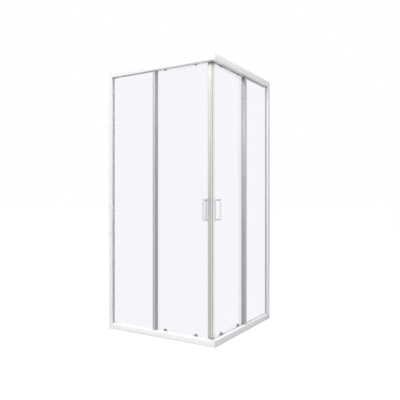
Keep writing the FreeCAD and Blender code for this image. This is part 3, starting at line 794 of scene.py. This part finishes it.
for side in wing["sides"]:
    tag = side.capitalize()
    fitPiece(gripShape(side), "door_" + side, "chromeHandle", "handle_grip_" + side)
    glass = panes["door"]["d"][1]
    back, outline = glass + handles["plateThick"], handleOutline(handles["plateWide"])
    plate = flatShape("handleBackplate" + tag, side, [outline], glass, back, handles["plateEdge"])
    fitPiece(plate, "door_" + side, "chromeHandle", "handle_backplate_" + side)
    screw = lathed("buttonHead" + tag, handles["screwHead"], handles["screwSteps"])
    heads = placed("handleScrews" + tag, side, screw, [(handles["u"], back, z) for z in handles["heights"]])
    bpy.data.objects.remove(screw)
    fitPiece(heads, "door_" + side, "screwSteel", "handle_screws_" + side)
print("handles made")


# Roller gear
def wheelShape(axle, groove):
    # hub, web and rim on one side and half of the groove, then the same the other way round
    rim, wide = groove + rollers["rimRise"], rollers["wheelWide"]
    half = [
        (axle, 0), (axle + 1.6, 0), (axle + 2, 0.5), (groove - 2.4, 0.5), (groove - 2, 0), (rim, 0, 0.5),
        (rim, 0.9, 0.3), (groove - 0.9, 2.4, 0.3),
    ]
    other = [(c[0], wide - c[1]) + tuple(c[2:]) for c in reversed(half)]
    return lathed("wheelShape", half + other, rollers["wheelSteps"])


for side in wing["sides"]:
    tag = side.capitalize()
    body = "door_" + side
    knob = lathed("knob" + tag, rollers["knob"])
    knobPlaces = [(u, rollers["capFront"], rollers["topStud"]) for u in rollers["places"]]
    caps = placed("topRollerCaps" + tag, side, knob, knobPlaces)
    bpy.data.objects.remove(knob)
    fitPiece(caps, body, "capPlastic", "top_roller_caps_" + side)
    lows, cap = [], rollers["lowCap"]
    for u in rollers["places"]:
        outline = plateOutline(u, rollers["lowStud"], cap["wide"], cap["tall"], cap["round"], cap["steps"])
        lows.append(flatShape("lowCap", side, [outline], rollers["capFront"], panes["door"]["d"][0], cap["edge"]))
    fitPiece(joined("bottomRollerCaps" + tag, lows), body, "capPlastic", "bottom_roller_caps_" + side)
    for name, (node, slot, edge) in rollers["gear"].items():
        fitPiece(dressed(name + tag, node + side, edge), body, slot, node + side)
    for end, u in zip(("front", "rear"), rollers["places"]):
        for kind, sizes in rollers["wheels"].items():
            wheel = wheelShape(sizes["axle"], sizes["groove"])
            node = kind + "_wheel_" + end + "_" + side
            place = (u, rollers["wheelFront"], sizes["z"])
            piece = placed(kind + "Wheel" + end.capitalize() + tag, side, wheel, [place])
            bpy.data.objects.remove(wheel)
            fitPiece(piece, node, "wheelNylon", node)
        node = "bottom_release_" + end + "_" + side
        release = dressed("bottomRelease" + end.capitalize() + tag, node, rollers["releaseEdge"])
        fitPiece(release, node, "rollerPlastic", node)
print("roller gear made")

# Strips: covers over the open slot, gaskets round the fixed glass, seals between the hooks
strips = {
    "edge": 0.15, "coverLow": 24, "coverWall": 1.2, "coverEnd": 488, "coverRound": 0.6,
    "gasketBase": 14, "gasketTop": 43, "gasketWall": 2, "gasketRun": (509, 864.8), "postBase": 886.5, "postLip": 865,
    "baseRound": 0.5, "lipRound": 0.8,
    "bead": [(489.5, 31.7, 0.4), (492.2, 31.7, 1.1), (492.2, 34.3, 1.1), (489.5, 34.3, 0.4)],
}


def coverSection():
    # an upturned channel over the slot
    low, top, wall, soft = strips["coverLow"], rails["height"], strips["coverWall"], strips["coverRound"]
    near, far = rails["boxDepth"], rails["cheek"]
    return [
        (near, low), (near, top, soft), (far, top, soft), (far, low), (far - wall, low), (far - wall, top - wall),
        (near + wall, top - wall), (near + wall, low),
    ]


def gasketSection(base, end):
    # a channel round the edge of the fixed glass, from its base to the end of its lips
    near, far, wall = rails["boxDepth"], rails["cheek"], strips["gasketWall"]
    small, soft = strips["baseRound"], strips["lipRound"]
    front, back = panes["fixed"]["d"]
    return [
        (near, base, small), (far, base, small), (far, end, soft), (back, end, soft), (back, base + wall),
        (front, base + wall), (front, end, soft), (near, end, soft),
    ]


covers, railGaskets, postGaskets, seals = [], [], [], []
for side in wing["sides"]:
    cover = coverSection()
    lip = gasketSection(strips["gasketBase"], strips["gasketTop"])
    edge = strips["edge"]
    for section in (cover, upsideDown(cover)):
        covers.append(profile("slotCover", side, section, rails["start"], strips["coverEnd"], edge=edge))
    for section in (lip, upsideDown(lip)):
        railGaskets.append(profile("railGasket", side, section, *strips["gasketRun"], edge=edge))
    post = [(-z, d) + tuple(rest) for d, z, *rest in gasketSection(-strips["postBase"], -strips["postLip"])]
    span = (strips["gasketBase"], wing["height"] - strips["gasketBase"])
    postGaskets.append(profile("postGasket", side, post, *span, True, edge))
    seals.append(profile("hookSeal", side, strips["bead"], uprights["hookLow"], uprights["hookHigh"], True, 0))
fitPiece(joined("slotCovers", covers), "frame", "whitePlastic", "slot_covers")
# the rail gaskets take a lighter colour than the post gaskets: painted light against the shade under the rails
fitPiece(joined("railGaskets", railGaskets), "frame", "gasket", "fixed_glass_gaskets", look="paintedLightSeal")
fitPiece(joined("postGaskets", postGaskets), "frame", "gasket", "fixed_glass_gaskets")
fitPiece(joined("uprightSeals", seals), "frame", "sealStrip", "upright_seals")
print("strips made")

# Screws and their snap-on covers
screws = {
    "sideU": 890, "sideD": 30.3, "sideHeights": (150, 950, 1750), "tapU": 60, "tapD": 7.5, "steps": 32, "capSteps": 40,
    "tap": [(0, 1), (1, 1), (1.2, 0), (1.75, 0, 0.2), (1.75, 8), (0.8, 9), (0, 9)],
    "cap": [(3.1, 0), (4.2, 0, 0.15), (4.2, 2.4, 1.1), (2.2, 3.2, 2), (0, 3.2), (0, 2.1), (3.1, 2.1)],
    "endSizes": {"shank": 1.7, "length": 14, "head": 2.5, "thick": 2.2},
    "sideSizes": {"shank": 1.5, "length": 9, "head": 3, "thick": 2},
    "recess": 0.9,
}


def panHead(name, shank, length, head, thick):
    # the head's underside lies at the origin and the shank points along +Z
    floor = screws["recess"] - thick
    return lathed(name, [
        (0, floor), (head * 0.35, floor), (head * 0.42, -thick), (head * 0.7, -thick, 0.5), (head, -thick * 0.55, 0.6),
        (head, 0, 0.1), (shank, 0), (shank, length - shank), (shank / 2, length), (0, length),
    ], screws["steps"])


tap = lathed("tapShape", screws["tap"], screws["steps"])
endScrew = panHead("endScrew", **screws["endSizes"])
sideScrew = panHead("sideScrew", **screws["sideSizes"])
capShape = lathed("capShape", screws["cap"], screws["capSteps"])
fasteners, coverCaps = [], []
for side in wing["sides"]:
    sidePlaces = [(screws["sideU"], screws["sideD"], z) for z in screws["sideHeights"]]
    endHeights = (rails["portHeight"], wing["height"] - rails["portHeight"])
    endPlaces = [(posts["near"] + posts["wall"], rails["portDepth"], z) for z in endHeights]
    fasteners += [
        placed("railTap", side, tap, [(screws["tapU"], screws["tapD"], 0)], (0, 0, 1)),
        placed("headTap", side, tap, [(screws["tapU"], screws["tapD"], wing["height"])], (0, 0, -1)),
        placed("endScrews", side, endScrew, endPlaces, (-1, 0, 0)),
        placed("sideScrews", side, sideScrew, sidePlaces, (0, -1, 0)),
    ]
    coverCaps.append(placed("snapCaps", side, capShape, sidePlaces))
for shape in (tap, endScrew, sideScrew, capShape):
    bpy.data.objects.remove(shape)
fitPiece(joined("frameScrews", fasteners), "frame", "screwSteel", "frame_screws")
fitPiece(joined("screwCovers", coverCaps), "frame", "whitePlastic", "screw_covers")

# Moulded pieces with eased edges
moulded = {
    "corner_covers": ("cornerCovers", "whitePlastic", 0.4), "setting_blocks": ("settingBlocks", "blockPlastic", 0.8),
    "rail_end_caps": ("railEndCaps", "whitePlastic", 0.6),
}
for node, (name, slot, edge) in moulded.items():
    fitPiece(dressed(name, node, edge), "frame", slot, node)
print("small pieces made")


# Floor, light and camera
studio = {
    "floorShade": 0.72, "floorGlow": 0.73, "floorInGlass": 1.0, "floorInGloss": 1.0, "roomLight": 0.38,
    "floorReach": 60.0, "floorDrop": 0.001, "aim": (0, 0, 0.9),
    "lamps": {
        "key": {"at": (-0.4, -5.6, 4.3), "size": 2.4, "power": 188},
        "fill": {"at": (2.0, -1.2, 3.1), "size": 1.4, "power": 32},
        "back": {"at": (-2.2, 2.6, 3.2), "size": 2.0, "power": 60},
    },
}


def surroundings():
    world = bpy.context.scene.world or bpy.data.worlds.new("room")
    bpy.context.scene.world = world
    world.use_nodes = True
    tree = world.node_tree
    light = tree.nodes["Background"]
    light.inputs["Color"].default_value = (1, 1, 1, 1)
    ray = tree.nodes.new("ShaderNodeLightPath")
    seen = mathNode(tree, "MAXIMUM", ray.outputs["Is Camera Ray"], ray.outputs["Is Glossy Ray"])
    seen = mathNode(tree, "MAXIMUM", seen, ray.outputs["Is Transmission Ray"])
    level = tree.nodes.new("ShaderNodeMapRange")
    level.inputs["To Min"].default_value = studio["roomLight"]
    level.inputs["To Max"].default_value = 1.0
    link(tree, seen, level.inputs["Value"])
    link(tree, level.outputs[0], light.inputs["Strength"])


def floorPlane():
    mesh = bpy.data.meshes.new("floor")
    reach, drop = studio["floorReach"], studio["floorDrop"]
    corners = [(-reach, -reach, -drop), (reach, -reach, -drop), (reach, reach, -drop), (-reach, reach, -drop)]
    mesh.from_pydata(corners, [], [(0, 1, 2, 3)])
    floor = newObject("floor", mesh)
    material = bpy.data.materials.new("paleFloor")
    material.use_nodes = True
    tree = material.node_tree
    shader = tree.nodes["Principled BSDF"]
    shader.inputs["Roughness"].default_value = 0.9
    shader.inputs["Specular IOR Level"].default_value = 0.0
    # seen directly the floor is lit and keeps the shadow; in glass and in gloss it is an even white
    ray = tree.nodes.new("ShaderNodeLightPath")
    inGlass = ray.outputs["Is Transmission Ray"]
    inGloss = mathNode(tree, "MULTIPLY", ray.outputs["Is Glossy Ray"], mathNode(tree, "SUBTRACT", 1.0, inGlass))
    direct = mathNode(tree, "SUBTRACT", mathNode(tree, "SUBTRACT", 1.0, inGlass), inGloss)
    link(tree, mathNode(tree, "MULTIPLY", direct, studio["floorShade"]), shader.inputs["Base Color"])
    glow = mathNode(tree, "MULTIPLY", ray.outputs["Is Camera Ray"], studio["floorGlow"])
    for seen, level in ((inGlass, "floorInGlass"), (inGloss, "floorInGloss")):
        glow = mathNode(tree, "ADD", glow, mathNode(tree, "MULTIPLY", seen, studio[level]))
    shader.inputs["Emission Color"].default_value = (1, 1, 1, 1)
    link(tree, glow, shader.inputs["Emission Strength"])
    mesh.materials.append(material)


def softLamp(name, lamp):
    data = bpy.data.lights.new(name, "AREA")
    data.shape = "DISK"
    data.size = lamp["size"]
    data.energy = lamp["power"]
    obj = newObject(name, data)
    obj.location = lamp["at"]
    obj.rotation_euler = (Vector(studio["aim"]) - Vector(lamp["at"])).to_track_quat("-Z", "Y").to_euler()
    obj.visible_camera = False  # the lamp itself isn't seen, nor through a pane
    obj.visible_transmission = False


surroundings()
floorPlane()
for name, lamp in studio["lamps"].items():
    softLamp(name + "Lamp", lamp)

view = {"at": (1.9418, -3.0932, 0.9568), "turn": 31.22, "lens": 42.58, "lift": -0.0015}
lensData = bpy.data.cameras.new("photoView")
lensData.lens = view["lens"]
lensData.sensor_width = 36
lensData.sensor_fit = "HORIZONTAL"
lensData.shift_y = view["lift"]
viewer = newObject("photoView", lensData)
viewer.location = view["at"]
viewer.rotation_euler = Euler((math.radians(90), 0, math.radians(view["turn"])))
bpy.context.scene.camera = viewer
bpy.context.scene.view_settings.view_transform = "Standard"
print("studio set")
